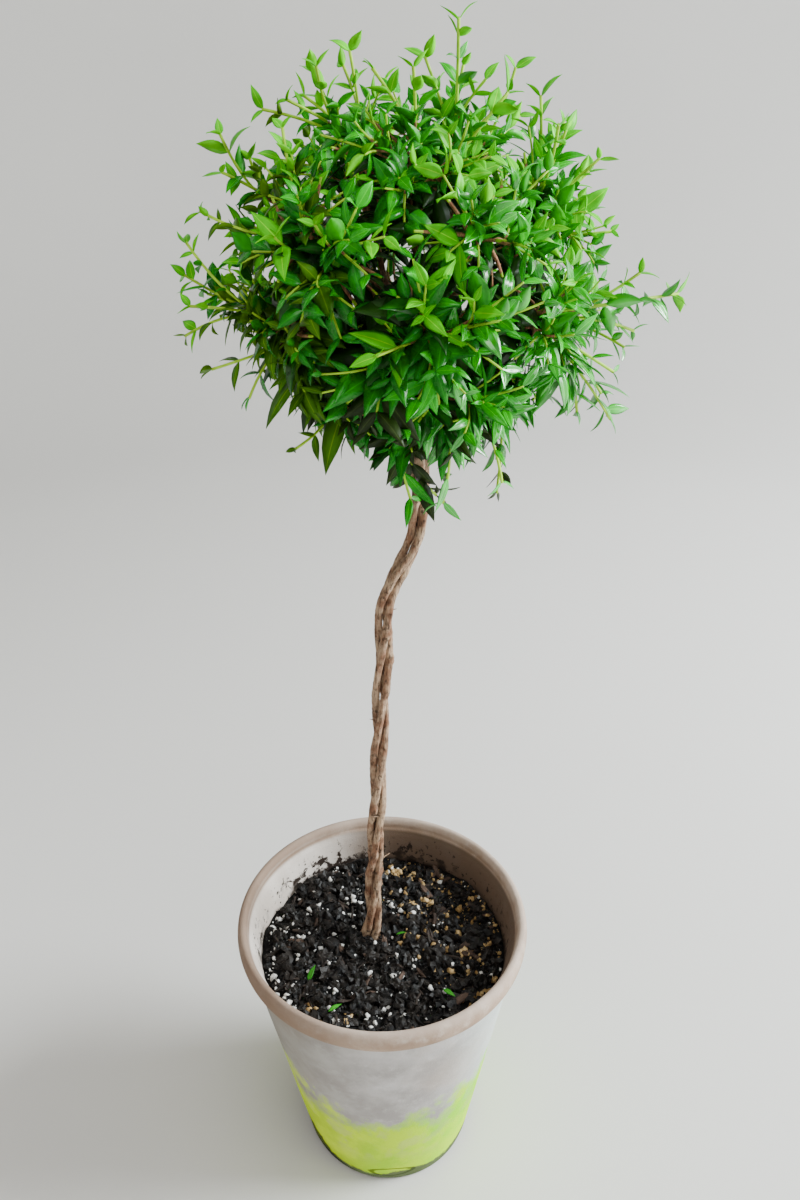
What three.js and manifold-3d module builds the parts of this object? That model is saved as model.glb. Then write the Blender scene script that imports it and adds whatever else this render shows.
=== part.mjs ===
// A potted myrtle trained as a lollipop standard: three thin stems twisted round each other rise
// from a tapered clay pot and carry a loose round head of small pointed leaves.
// Millimetres, +Z up. +X is to the right and +Y away from the side that the plant is seen from.
// The origin is the centre of the pot's flat underside.
import * as THREE from "three";
import Module from "manifold-3d";

const wasm = await Module();
wasm.setup();

// The gap that is left between neighbouring solids.
const CLEAR = 0.3;

// Edges shorter than this are taken out of joined bodies.
const FINEST = 0.03;

// Pot: a tapered body under a rounded collar.
const POT = {
  height: 165,
  footRadius: 49.6,
  footChamfer: 2,
  shoulderRadius: 75.4,
  shoulderHeight: 153,
  rimRadius: 80,
  mouthRadius: 74.3,
  collar: 12,
  collarSteps: 6,
  wall: 4.5,
  floor: 10,
  segments: 36,
};

// Potting soil: its level, the height of its clods, and the flat seat round the stems.
const SOIL = { level: 139, clod: 2.2, seatRadius: 16, seatFade: 10, rings: 5 };

// The three stems: where they leave the soil, how they lean, and where they cross over to the right.
const STEMS = {
  count: 3,
  root: new THREE.Vector2(-5.6, 9),
  lean: 0.0585,
  crossOver: 13,
  crossFrom: 352,
  crossTo: 391,
  fork: 418,
  twistRadius: 2.66,
  twistPitch: 126,
  baseRadius: 2.1,
  forkRadius: 1.8,
  tipRadius: 1.25,
  flare: 0.4,
  flareHeight: 6,
  firstAzimuth: 30,
  tipAt: 0.7,
  sides: 7,
  steps: 34,
};

// The head: its centre, its half widths, and how far out the boughs reach before they are all twigs.
const CROWN = {
  centre: new THREE.Vector3(20, 6, 490),
  across: 74,
  up: 72,
  down: 66,
  hub: 0.68,
};

// The boughs and the masses of foliage that they carry, in rings from the top down.
// Rise is the angle above the level of the crown's centre, in degrees, and turn is the first mass's azimuth.
// Attach is the place along a stem's free end where a ring's first bough leaves it.
// The top ring has no boughs: the tips of the stems carry it.
const RINGS = [
  { rise: 64, count: 3, turn: 30, attach: null },
  { rise: 27, count: 5, turn: 8, attach: 0.56 },
  { rise: -7, count: 6, turn: 30, attach: 0.36 },
  { rise: -42, count: 4, turn: 12, attach: 0.15 },
];
const BOUGH = {
  baseRadius: 1.35,
  cutRadius: 1.15,
  hubRadius: 0.95,
  cutAt: 0.52,
  attachStep: 0.07,
  climb: 0.9,
  bend: 0.4,
};

// Shoots are spread evenly over the head by the golden angle.
const SHOOTS = {
  count: 84,
  lowest: -0.84,
  apart: 0.17,
  shortest: 0.88,
  longest: 1.04,
  bend: 0.42,
  baseRadius: 0.75,
  tipRadius: 0.45,
  step: 16,
};
const GOLDEN_TURN = Math.PI * (3 - Math.sqrt(5));

// Long shoots stand out of the head: each has its azimuth and rise, in degrees, and how far it reaches,
// as a share of the head's own reach.
const LONG_SHOOTS = [
  { azimuth: -10, rise: 76, reach: 1.24 },
  { azimuth: 172, rise: 62, reach: 1.12 },
  { azimuth: -8, rise: 1, reach: 1.33 },
  { azimuth: 176, rise: 34, reach: 1.16 },
  { azimuth: 184, rise: 4, reach: 1.1 },
  { azimuth: -6, rise: 34, reach: 1.15 },
  { azimuth: -20, rise: -32, reach: 1.2 },
  { azimuth: 100, rise: 48, reach: 1.12 },
  { azimuth: 60, rise: 8, reach: 1.18 },
  { azimuth: 140, rise: -20, reach: 1.15 },
];

// Leaves stand in opposite pairs, and each pair is turned a quarter against the one below it.
// Splay, forward and sag give a leaf's direction: out from its twig, along it, and down.
const LEAF = {
  length: 27,
  width: 0.4,
  thickness: 0.5,
  widestAt: 0.42,
  fold: 0.3,
  droop: 0.16,
  splay: 0.85,
  forward: 0.6,
  sag: 0.15,
  skyward: 0.6,
  firstAt: 0.26,
  lastAt: 0.97,
  spacing: 8.5,
  sunk: 0.1,
  apart: 0.15,
};

// A leaf that has no room is turned round its twig and shortened, in this order, before it is left out.
const LEAF_TRIES = [
  { turn: 0, scale: 1 },
  { turn: 0.7, scale: 0.9 },
  { turn: -0.7, scale: 0.9 },
  { turn: 1.4, scale: 0.8 },
  { turn: 0.35, scale: 0.65 },
];

const UP = new THREE.Vector3(0, 0, 1);
const radians = THREE.MathUtils.degToRad;
const lerp = THREE.MathUtils.lerp;
const smoothstep = THREE.MathUtils.smoothstep;

// A repeatable number from 0 to 1 for any pair of whole numbers.
function chance(a, b) {
  const x = Math.sin(a * 12.9898 + b * 78.233) * 43758.5453;
  return x - Math.floor(x);
}

function level(azimuth) {
  return new THREE.Vector3(Math.cos(azimuth), Math.sin(azimuth), 0);
}

function aim(azimuth, rise) {
  return level(azimuth).multiplyScalar(Math.cos(rise)).addScaledVector(UP, Math.sin(rise));
}

// Pot and soil

function turned(profile) {
  const points = profile.map(([r, z]) => new THREE.Vector2(r, z));
  return new THREE.LatheGeometry(points, POT.segments).rotateX(Math.PI / 2);
}

// The inner wall runs parallel to the outer one.
function innerRadius(z) {
  const slope = (POT.shoulderRadius - POT.footRadius) / POT.shoulderHeight;
  return POT.footRadius + slope * z - POT.wall;
}

function potGeometry() {
  const { height, footRadius, footChamfer, rimRadius, mouthRadius, collar, collarSteps, floor } = POT;
  const halfWidth = (rimRadius - mouthRadius) / 2;
  const profile = [
    [0, 0],
    [footRadius - footChamfer, 0],
    [footRadius, footChamfer],
    [POT.shoulderRadius, POT.shoulderHeight],
  ];
  // The collar's rounded section, from under its outer edge over the top to the mouth.
  for (let i = 0; i <= collarSteps; i++) {
    const turn = lerp(radians(-55), Math.PI, i / collarSteps);
    profile.push([
      mouthRadius + halfWidth * (1 + Math.cos(turn)),
      height - (collar / 2) * (1 - Math.sin(turn)),
    ]);
  }
  profile.push([innerRadius(SOIL.level), SOIL.level], [innerRadius(floor), floor], [0, floor]);
  return turned(profile);
}

// Clods rise above the soil's level, except on the flat seat where the stems stand.
function clods(x, y) {
  const distance = Math.hypot(x - STEMS.root.x, y - STEMS.root.y);
  const wave = 0.5 + 0.25 * Math.sin(0.21 * x + 0.09 * y) + 0.25 * Math.sin(0.17 * y - 0.13 * x + 1.3);
  return SOIL.clod * wave * smoothstep(distance, SOIL.seatRadius, SOIL.seatRadius + SOIL.seatFade);
}

function soilGeometry() {
  const bottom = POT.floor + CLEAR;
  const edge = innerRadius(SOIL.level) - CLEAR;
  const profile = [
    [0, bottom],
    [innerRadius(bottom) - CLEAR, bottom],
  ];
  for (let i = SOIL.rings; i >= 0; i--) {
    profile.push([(edge * i) / SOIL.rings, SOIL.level]);
  }
  const geometry = turned(profile);
  const position = geometry.getAttribute("position");
  for (let i = 0; i < position.count; i++) {
    if (position.getZ(i) > SOIL.level - CLEAR) {
      position.setZ(i, SOIL.level + clods(position.getX(i), position.getY(i)));
    }
  }
  return geometry;
}

// Limbs

// A stretch of a curve, between two shares of its length.
class Stretch extends THREE.Curve {
  constructor(curve, from, to) {
    super();
    Object.assign(this, { curve, from, to });
  }
  getPoint(t, target = new THREE.Vector3()) {
    return this.curve.getPointAt(lerp(this.from, this.to, t), target);
  }
}

// A closed tapering limb: rings of points round the curve, with a flat cut at each end.
// A level cut lies flat on the ground, whatever way the limb leaves it.
function limbGeometry(curve, radiusAt, sides, steps, levelCut = false) {
  const frames = curve.computeFrenetFrames(steps, false);
  const points = [];
  const index = [];
  for (let i = 0; i <= steps; i++) {
    const centre = curve.getPointAt(i / steps);
    const radius = radiusAt(i / steps);
    for (let j = 0; j < sides; j++) {
      const turn = (2 * Math.PI * j) / sides;
      const point = centre
        .clone()
        .addScaledVector(frames.normals[i], radius * Math.cos(turn))
        .addScaledVector(frames.binormals[i], radius * Math.sin(turn));
      if (levelCut && i === 0) point.z = centre.z;
      points.push(point);
    }
  }
  for (let i = 0; i < steps; i++) {
    for (let j = 0; j < sides; j++) {
      const here = i * sides + j;
      const beside = i * sides + ((j + 1) % sides);
      index.push(here, beside, beside + sides, here, beside + sides, here + sides);
    }
  }
  const last = steps * sides;
  for (let j = 1; j < sides - 1; j++) {
    index.push(0, j + 1, j, last, last + j, last + j + 1);
  }
  return new THREE.BufferGeometry().setFromPoints(points).setIndex(index);
}

// How far a height is up the twisted part, from 0 at the soil to 1 at the fork.
function shareOfTrunk(z) {
  return (z - SOIL.level) / (STEMS.fork - SOIL.level);
}

// The line that the stems twist round, at a height.
function trunkAxis(z) {
  const across = STEMS.crossOver * smoothstep(z, STEMS.crossFrom, STEMS.crossTo);
  return new THREE.Vector3(
    STEMS.root.x + STEMS.lean * (z - SOIL.level) + across,
    lerp(STEMS.root.y, CROWN.centre.y, shareOfTrunk(z)),
    z,
  );
}

function flareAt(z) {
  return 1 + STEMS.flare * Math.exp(-(z - SOIL.level) / STEMS.flareHeight);
}

function stemAzimuth(stem) {
  return radians(STEMS.firstAzimuth + (360 / STEMS.count) * stem);
}

// A stem's centre in the twisted part, at a height.
function twisted(stem, z) {
  const azimuth = stemAzimuth(stem) - (2 * Math.PI * (STEMS.fork - z)) / STEMS.twistPitch;
  return trunkAxis(z).addScaledVector(level(azimuth), STEMS.twistRadius * flareAt(z));
}

function stemRadius(z) {
  const share = shareOfTrunk(z);
  if (share <= 1) return lerp(STEMS.baseRadius, STEMS.forkRadius, share) * flareAt(z);
  const tipHeight = CROWN.centre.z;
  return lerp(STEMS.forkRadius, STEMS.tipRadius, Math.min(1, (z - STEMS.fork) / (tipHeight - STEMS.fork)));
}

// How far the head reaches from its centre in a direction.
function crownReach(direction) {
  const upright = direction.z > 0 ? CROWN.up : CROWN.down;
  const across = Math.hypot(direction.x, direction.y) / CROWN.across;
  return 1 / Math.hypot(across, direction.z / upright);
}

function inCrown(direction, share) {
  return CROWN.centre.clone().addScaledVector(direction, share * crownReach(direction));
}

// The free end of a stem above the fork: it leaves the twist upright and bends outwards to its mass.
function freeEnd(stem) {
  const start = twisted(stem, STEMS.fork);
  const end = inCrown(aim(stemAzimuth(stem), radians(RINGS[0].rise)), CROWN.hub);
  const bend = start.clone().lerp(end, 0.2).setZ((start.z + end.z) / 2);
  return new THREE.QuadraticBezierCurve3(start, bend, end);
}

// A stem's whole path: twisted up to the fork, and then free.
function stemCurve(stem) {
  const twistSteps = 31;
  const freeSteps = 10;
  const points = [];
  for (let i = 0; i < twistSteps; i++) {
    points.push(twisted(stem, lerp(SOIL.level + CLEAR, STEMS.fork, i / twistSteps)));
  }
  points.push(...freeEnd(stem).getSpacedPoints(freeSteps));
  return new THREE.CatmullRomCurve3(points, false, "centripetal");
}

// The share of a stem's whole length that lies below a share of its free end.
function placeOnStem(curve, stem, share) {
  const free = freeEnd(stem).getLength() / curve.getLength();
  return 1 - free * (1 - share);
}

// A bough leaves the outer side of its stem, climbs, and bends out to the middle of its mass.
function boughCurve(stem, attach, azimuth, direction) {
  const onStem = freeEnd(stem).getPointAt(attach);
  const outward = level(azimuth);
  const leaving = outward.clone().addScaledVector(UP, BOUGH.climb).normalize();
  const offset = stemRadius(onStem.z) + CLEAR + BOUGH.baseRadius * leaving.z;
  const start = onStem.clone().addScaledVector(outward, offset);
  const end = inCrown(direction, CROWN.hub);
  const bend = start.clone().addScaledVector(leaving, BOUGH.bend * start.distanceTo(end));
  return new THREE.QuadraticBezierCurve3(start, bend, end);
}

// Masses

function nearestStem(azimuth, stems) {
  const turns = stems.map((stem) => Math.cos(azimuth - stemAzimuth(stem)));
  return turns.indexOf(Math.max(...turns));
}

// Each mass has its direction from the crown's centre, the site that its space lies round, the curve that
// carries it, and the share of that curve where its own stem begins.
function makeMasses(curves) {
  const stems = [...curves.keys()];
  const boughsOn = stems.map(() => 0);
  const masses = [];
  for (const ring of RINGS) {
    boughsOn.fill(0);
    for (let i = 0; i < ring.count; i++) {
      const azimuth = radians(ring.turn + (360 / ring.count) * i);
      const direction = aim(azimuth, radians(ring.rise));
      const stem = nearestStem(azimuth, stems);
      const mass = { direction, site: inCrown(direction, 0.8), onBough: ring.attach !== null };
      if (mass.onBough) {
        const attach = ring.attach + BOUGH.attachStep * boughsOn[stem];
        boughsOn[stem] += 1;
        mass.curve = boughCurve(stem, attach, azimuth, direction);
        mass.cut = BOUGH.cutAt;
        mass.cutRadius = BOUGH.cutRadius;
      } else {
        mass.curve = curves[stem];
        mass.cut = placeOnStem(curves[stem], stem, STEMS.tipAt);
        mass.cutRadius = STEMS.tipRadius;
      }
      masses.push(mass);
    }
  }
  return masses;
}

// A point is in a mass's space if it is nearer to that mass's site than to any other, with room to spare.
function inSpace(point, mass, masses) {
  return masses.every((other) => {
    if (other === mass) return true;
    const span = mass.site.distanceTo(other.site);
    const inside = (point.distanceToSquared(other.site) - point.distanceToSquared(mass.site)) / (2 * span);
    return inside > CLEAR;
  });
}

// A limb's middle line in straight pieces, for telling how near a point comes to it.
function limbLines(curve, radius) {
  const points = curve.getSpacedPoints(10);
  return {
    radius,
    box: new THREE.Box3().setFromPoints(points).expandByScalar(radius + 3 * CLEAR),
    lines: points.slice(1).map((point, i) => new THREE.Line3(points[i], point)),
  };
}

function clearOfLimbs(point, limbs) {
  const foot = new THREE.Vector3();
  return limbs.every(({ box, lines, radius }) => {
    if (!box.containsPoint(point)) return true;
    return lines.every((line) => {
      line.closestPointToPoint(point, true, foot);
      return foot.distanceTo(point) > radius + 2 * CLEAR;
    });
  });
}

// Bodies of a mass

function solid(geometry) {
  return new wasm.Manifold(
    new wasm.Mesh({
      numProp: 3,
      vertProperties: geometry.getAttribute("position").array,
      triVerts: new Uint32Array(geometry.index.array),
    }),
  );
}

// A closed body with the box round it, so that most bodies are told apart by their boxes alone.
function makeBody(geometry) {
  geometry.computeBoundingBox();
  return { body: solid(geometry), box: geometry.boundingBox };
}

function crowds(one, others) {
  const reach = one.box.clone().expandByScalar(CLEAR);
  return others.some(
    (other) => reach.intersectsBox(other.box) && one.body.minGap(other.body, CLEAR) < LEAF.apart,
  );
}

// The largest of a body's separate parts, so without loose scraps and shut-in hollows.
function mainPart(body) {
  return body.decompose().reduce((best, part) => (part.volume() > best.volume() ? part : best));
}

function joined(parts) {
  const whole = mainPart(wasm.Manifold.union(parts.map(({ body }) => body))).simplify(FINEST);
  const mesh = whole.getMesh();
  return new THREE.BufferGeometry()
    .setAttribute("position", new THREE.BufferAttribute(mesh.vertProperties, 3))
    .setIndex(new THREE.BufferAttribute(mesh.triVerts, 1));
}

// Shoots

// The shoots' tips: the long ones, and an even spread over the rest of the head.
function shootTips() {
  const tips = LONG_SHOOTS.map(({ azimuth, rise, reach }, i) => {
    const direction = aim(radians(azimuth), radians(rise));
    return { number: SHOOTS.count + i, direction, tip: inCrown(direction, reach) };
  });
  for (let i = 0; i < SHOOTS.count; i++) {
    const height = 1 - ((i + 0.5) / SHOOTS.count) * (1 - SHOOTS.lowest);
    const direction = aim(i * GOLDEN_TURN, Math.asin(height));
    if (tips.some((other) => other.direction.angleTo(direction) < SHOOTS.apart)) continue;
    const reach = lerp(SHOOTS.shortest, SHOOTS.longest, chance(i, 1));
    tips.push({ number: i, direction, tip: inCrown(direction, reach) });
  }
  return tips;
}

// A shoot's path from a place on the mass's stem, at a share of the stem's length, out to its tip.
function shootCurve(shoot, mass, share) {
  const from = lerp(mass.cut, 1, share);
  const start = mass.curve.getPointAt(from);
  const along = mass.curve.getTangentAt(from);
  const bend = start.clone().addScaledVector(along, SHOOTS.bend * start.distanceTo(shoot.tip));
  return new THREE.QuadraticBezierCurve3(start, bend, shoot.tip);
}

function twigSteps(curve) {
  return Math.max(2, Math.round(curve.getLength() / SHOOTS.step));
}

// The three-sided twigs of a mass. The shoots that turn furthest away from its stem leave it lowest,
// and a shoot that would leave the mass's space or touch a limb is left out.
function growTwigs(mass, shoots, masses, limbs) {
  const taper = (t) => lerp(SHOOTS.baseRadius, SHOOTS.tipRadius, t);
  const fits = (point) => inSpace(point, mass, masses) && clearOfLimbs(point, limbs);
  const nearness = (shoot) => mass.direction.dot(shoot.direction);
  return shoots
    .toSorted((a, b) => nearness(b) - nearness(a))
    .map((shoot, i) => {
      const curve = shootCurve(shoot, mass, 0.96 - (0.8 * i) / shoots.length);
      return { shoot, curve, ...makeBody(limbGeometry(curve, taper, 3, twigSteps(curve))) };
    })
    .filter(({ curve }) => curve.getSpacedPoints(12).slice(1).every(fits));
}

// A twig is straight between its rings. This is the place on its middle line at a share of its length.
function onTwig(curve, share) {
  const steps = twigSteps(curve);
  const ring = Math.min(steps - 1, Math.floor(share * steps));
  const from = curve.getPointAt(ring / steps);
  const to = curve.getPointAt((ring + 1) / steps);
  return {
    root: from.clone().lerp(to, share * steps - ring),
    along: to.clone().sub(from).normalize(),
  };
}

// Leaves

// One leaf as a thin eight-sided blade: root, tip, two edges, and the raised and lowered middle of its rib.
// Its upper face looks out of the head and towards the sky.
function leafPoints(root, axis, length) {
  const facing = root.clone().sub(CROWN.centre).normalize().addScaledVector(UP, LEAF.skyward);
  const side = new THREE.Vector3().crossVectors(axis, facing).normalize();
  const face = new THREE.Vector3().crossVectors(side, axis).normalize();
  const middle = root.clone().addScaledVector(axis, LEAF.widestAt * length);
  const edge = (LEAF.width * length) / 2;
  const raise = LEAF.fold * edge;
  return [
    root.clone().addScaledVector(axis, -LEAF.sunk),
    root.clone().addScaledVector(axis, length).addScaledVector(UP, -LEAF.droop * length),
    middle.clone().addScaledVector(side, edge).addScaledVector(face, raise),
    middle.clone().addScaledVector(side, -edge).addScaledVector(face, raise),
    middle.clone().addScaledVector(face, LEAF.thickness / 2),
    middle.clone().addScaledVector(face, -LEAF.thickness / 2),
  ];
}

const LEAF_FACES = [
  0, 2, 4, 2, 1, 4, 1, 3, 4, 3, 0, 4,
  2, 0, 5, 1, 2, 5, 3, 1, 5, 0, 3, 5,
];

// Whether a leaf keeps to its mass's space and clear of the limbs, by points along its edges and its rib.
function leafFits([root, tip, right, left, top], mass, masses, limbs) {
  const samples = [tip, right, left, top];
  for (const share of [0.25, 0.5, 0.75]) {
    for (const middle of [right, left, top]) {
      samples.push(root.clone().lerp(middle, share), tip.clone().lerp(middle, share));
    }
  }
  return samples.every((point) => inSpace(point, mass, masses) && clearOfLimbs(point, limbs));
}

// The leaves of one twig. Each keeps clear of the other twigs and leaves of its mass.
function growLeaves(twig, others, mass, masses, limbs) {
  const { shoot, curve } = twig;
  const leafyLength = curve.getLength() * (LEAF.lastAt - LEAF.firstAt);
  const pairs = Math.max(2, Math.round(leafyLength / LEAF.spacing));
  const leaves = [];
  for (let i = 0; i < pairs; i++) {
    const at = lerp(LEAF.firstAt, LEAF.lastAt, i / (pairs - 1));
    const { root, along } = onTwig(curve, at);
    const across = new THREE.Vector3().crossVectors(along, UP).normalize();
    const size = LEAF.length * (0.8 + 0.35 * chance(shoot.number, 10 + i)) * (1 - 0.4 * at * at);
    const pair = [];
    for (const half of [0, 1]) {
      const quarterTurns = i + 2 * half + 0.3 * chance(shoot.number, 40 + i);
      for (const { turn, scale } of LEAF_TRIES) {
        const axis = across
          .clone()
          .applyAxisAngle(along, (quarterTurns * Math.PI) / 2 + turn)
          .multiplyScalar(LEAF.splay)
          .addScaledVector(along, LEAF.forward)
          .addScaledVector(UP, -LEAF.sag)
          .normalize();
        const points = leafPoints(root, axis, size * scale);
        if (!leafFits(points, mass, masses, limbs)) continue;
        const leaf = makeBody(new THREE.BufferGeometry().setFromPoints(points).setIndex(LEAF_FACES));
        if (crowds(leaf, others) || crowds(leaf, leaves)) continue;
        pair.push(leaf);
        break;
      }
    }
    leaves.push(...pair);
  }
  return leaves;
}

// One mass: its stem, its twigs and their leaves, all joined into one body.
function massGeometry(mass, shoots, masses, limbs) {
  const start = mass.cut + CLEAR / mass.curve.getLength();
  const taper = (t) => lerp(mass.cutRadius, BOUGH.hubRadius, t);
  const stem = makeBody(limbGeometry(new Stretch(mass.curve, start, 1), taper, 5, 3));
  const twigs = growTwigs(mass, shoots, masses, limbs);
  const leaves = [];
  for (const twig of twigs) {
    const others = [stem, ...twigs.filter((other) => other !== twig), ...leaves];
    leaves.push(...growLeaves(twig, others, mass, masses, limbs));
  }
  return joined([stem, ...twigs, ...leaves]);
}

// The whole plant

const CLAY = new THREE.MeshStandardMaterial({ color: "#a79c93", roughness: 0.9, metalness: 0 });
const EARTH = new THREE.MeshStandardMaterial({ color: "#241d1a", roughness: 1, metalness: 0 });
const BARK = new THREE.MeshStandardMaterial({ color: "#8a6a50", roughness: 0.85, metalness: 0 });
const GREEN = new THREE.MeshStandardMaterial({ color: "#2f8a1f", roughness: 0.45, metalness: 0 });

const plant = new THREE.Group();

function add(name, geometry, material) {
  const mesh = new THREE.Mesh(geometry, material);
  mesh.name = name;
  plant.add(mesh);
}

const twoDigits = (number) => String(number).padStart(2, "0");

add("pot", potGeometry(), CLAY);
add("soil", soilGeometry(), EARTH);

const limbs = [];
const curves = [...Array(STEMS.count).keys()].map(stemCurve);
curves.forEach((curve, stem) => {
  const tip = placeOnStem(curve, stem, STEMS.tipAt);
  const stretch = new Stretch(curve, 0, tip);
  const radiusAt = (t) => stemRadius(stretch.getPointAt(t).z);
  add(`stem_${stem + 1}`, limbGeometry(stretch, radiusAt, STEMS.sides, STEMS.steps, true), BARK);
  limbs.push(limbLines(new Stretch(curve, placeOnStem(curve, stem, 0), tip), STEMS.forkRadius));
});

const masses = makeMasses(curves);
const onBoughs = masses.filter((mass) => mass.onBough);
onBoughs.forEach((mass, i) => {
  const stretch = new Stretch(mass.curve, 0, mass.cut);
  const taper = (t) => lerp(BOUGH.baseRadius, BOUGH.cutRadius, t);
  add(`bough_${twoDigits(i + 1)}`, limbGeometry(stretch, taper, 5, 3), BARK);
  limbs.push(limbLines(stretch, BOUGH.baseRadius));
});

const tips = shootTips();
masses.forEach((mass, i) => {
  const shoots = tips.filter((shoot) => inSpace(shoot.tip, mass, masses));
  add(`foliage_${twoDigits(i + 1)}`, massGeometry(mass, shoots, masses, limbs), GREEN);
});

export default plant;
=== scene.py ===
import math

import bmesh
import bpy
import numpy as np
from mathutils import Matrix, Vector, noise


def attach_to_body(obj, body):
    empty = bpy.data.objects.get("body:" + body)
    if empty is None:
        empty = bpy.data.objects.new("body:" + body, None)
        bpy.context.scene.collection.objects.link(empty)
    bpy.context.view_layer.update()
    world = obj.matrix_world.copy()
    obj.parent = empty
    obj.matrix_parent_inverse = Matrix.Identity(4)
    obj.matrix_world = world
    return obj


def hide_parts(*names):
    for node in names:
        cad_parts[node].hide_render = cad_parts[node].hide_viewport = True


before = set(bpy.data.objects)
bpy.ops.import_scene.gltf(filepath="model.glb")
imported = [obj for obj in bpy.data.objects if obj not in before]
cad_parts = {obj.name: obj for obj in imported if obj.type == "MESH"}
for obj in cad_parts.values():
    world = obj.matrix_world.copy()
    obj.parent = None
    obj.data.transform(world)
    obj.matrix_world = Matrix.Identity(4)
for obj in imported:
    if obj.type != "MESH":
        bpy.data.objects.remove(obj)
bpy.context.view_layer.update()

# A potted myrtle grown as a lollipop standard. Sizes are in millimetres, as in the part's source, and
# every mesh is turned into metres as it is made. The tables' angles are in degrees.
MM = 0.001
# The gap between the soil and the pot.
CLEAR = 0.3

POT = dict(height=165, foot_radius=49.6, shoulder_radius=75.4, shoulder_height=153, rim_radius=80,
           mouth_radius=74.3, collar=12, wall=4.5, floor=10)
POT_SLOPE = (POT["shoulder_radius"] - POT["foot_radius"]) / POT["shoulder_height"]
SOIL_LEVEL = 139
SOIL_DEPTH = 12
STEMS = dict(count=3, root=(-5.6, 9.0), lean=0.0585, cross_over=13, cross_from=352, cross_to=391,
             fork=418, twist_radius=2.66, twist_pitch=126, base_radius=2.1, fork_radius=1.8,
             tip_radius=1.25, flare=0.4, flare_height=6, first_azimuth=30, tip_at=0.7)
CROWN = dict(centre=np.array([20.0, 6.0, 490.0]), across=74, up=72, down=66, hub=0.68)
# The tiers of the masses of foliage. Attach is the share of the free stem where a tier's first bough starts.
RINGS = [
    dict(rise=64, count=3, turn=30, attach=None),
    dict(rise=27, count=5, turn=8, attach=0.56),
    dict(rise=-7, count=6, turn=30, attach=0.36),
    dict(rise=-42, count=4, turn=12, attach=0.15),
]
BOUGH = dict(base_radius=1.35, cut_radius=1.15, hub_radius=0.95, cut_at=0.52, attach_step=0.07,
             climb=0.9, bend=0.4)
# The source's shoots: those spread over the head by rule, and the long ones as azimuth, rise and reach.
SHOOTS = dict(count=84, lowest=-0.84, apart=0.17, shortest=0.88, longest=1.04, bend=0.42)
LONG_SHOOTS = [
    (0, 79, 1.32), (172, 62, 1.12), (-3, -1, 1.42), (176, 34, 1.16), (184, 4, 1.1),
    (-6, 34, 1.15), (-20, -32, 1.2), (100, 48, 1.12), (60, 8, 1.18), (140, -20, 1.15),
]
# Finer shoots fork from the others and fill the head between them, and short ones fill its inside.
# Bare twigs stand between them. Each kind is numbered from its first.
FINE = dict(kind="fine", first=1000, count=430, lowest=-0.9, shortest=0.62, longest=1.05,
            fork_from=0.2, fork_to=0.62, radius=0.5)
INSIDE = dict(kind="inside", first=2000, count=130, lowest=-0.9, shortest=0.34, longest=0.66,
              fork_from=0.05, fork_to=0.4, radius=0.5)
BARE = dict(kind="bare", first=3000, count=140, lowest=-0.9, shortest=0.55, longest=0.92,
            fork_from=0.05, fork_to=0.35, radius=1.0)
# Shoots that stand out of the head, above, beside and below it, as azimuth, rise and reach.
FIRST_EDGE = 1900
EDGE_SHOOTS = [
    (163, 76, 1.22), (-177, 68, 1.2), (-124, 73, 1.13), (62, 79, 1.17), (4, 69, 1.1), (-2, 55, 1.15),
    (-13, 45, 1.1), (7, 31, 1.12), (-5, 16, 1.08), (-9, -9, 1.2), (177, 41, 1.26), (-176, 24, 1.17),
    (-179, 8, 1.2), (-174, -6, 1.22), (-172, 58, 1.14), (-158, -24, 1.05), (-75, -63, 1.22), (-37, -61, 1.26),
    (-9, -31, 1.33), (-12, -26, 1.18), (167, 40, 1.1), (13, 62, 1.22), (-35, 60, 1.1), (30, 50, 1.12),
    (-150, 50, 1.1), (90, 42, 1.12), (70, 62, 1.12), (122, 22, 1.1), (45, 25, 1.12), (150, -10, 1.08),
    (-5, -14, 1.2), (-20, -18, 1.16), (10, -8, 1.2), (-62, -76, 1.2), (-95, -64, 1.18), (-50, -52, 1.2),
    (-176, 16, 1.2), (-168, 2, 1.17), (-165, -14, 1.14), (-148, -42, 1.08), (140, 70, 1.2), (-90, 70, 1.14),
    (40, 70, 1.18), (-30, 46, 1.12), (-178, 52, 1.18), (165, 66, 1.2), (2, 46, 1.14), (-16, 6, 1.18),
]
# Long shoots bow to one side by this share of their span, and up by this one.
BOW = dict(side=0.13, up=0.05)
SHOOT_RADIUS = 0.8
# Twigs' radii at their tips.
TWIG_TIPS = dict(long=0.62, bare=0.5, other=0.38)
# Leaves are longer and further apart low in the head, and short at the shoots' tips.
LEAVES = dict(top_length=13.2, low_length=19.0, tip_length=7.6, top_spacing=5.6, low_spacing=6.6,
              thickness=0.32)
# Knots on each stem, as distance from its foot, side in radians and size, and a dead spur or two where a
# twig broke off, as distance, azimuth and length.
KNOTS = [[(40, 3.6, 0.7), (96, 3.3, 0.6), (170, 3.9, 0.55), (228, 5.0, 0.7)],
         [(22, 4.4, 0.6), (64, 3.9, 0.8), (132, 4.6, 0.7), (205, 3.4, 0.6), (258, 5.2, 0.5)],
         [(52, 4.2, 0.7), (112, 2.9, 0.6), (152, 4.8, 0.7), (190, 3.0, 0.6), (240, 4.2, 0.7)]]
SPURS = [[(151, 184, 8.5)], [(92, 215, 6.0)], [(60, 20, 6.5), (215, 330, 6.0)]]
CAMERA = dict(lens=27, sensor=36, shift=0.035, place=(-5.6, -366.1, 547.1), pitch=27.15, roll=-2.41)
# Where the head is drawn in, as a direction and a depth: below it, to the left and the right of the trunk.
DRAWN_IN = [((-0.72, -0.3, -0.62), 0.15), ((0.5, -0.2, -0.84), 0.07), ((-0.3, 0.3, -0.9), 0.08)]
TURN = 2 * math.pi
GOLDEN_TURN = math.pi * (3 - math.sqrt(5))
UP = np.array([0.0, 0.0, 1.0])

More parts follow.
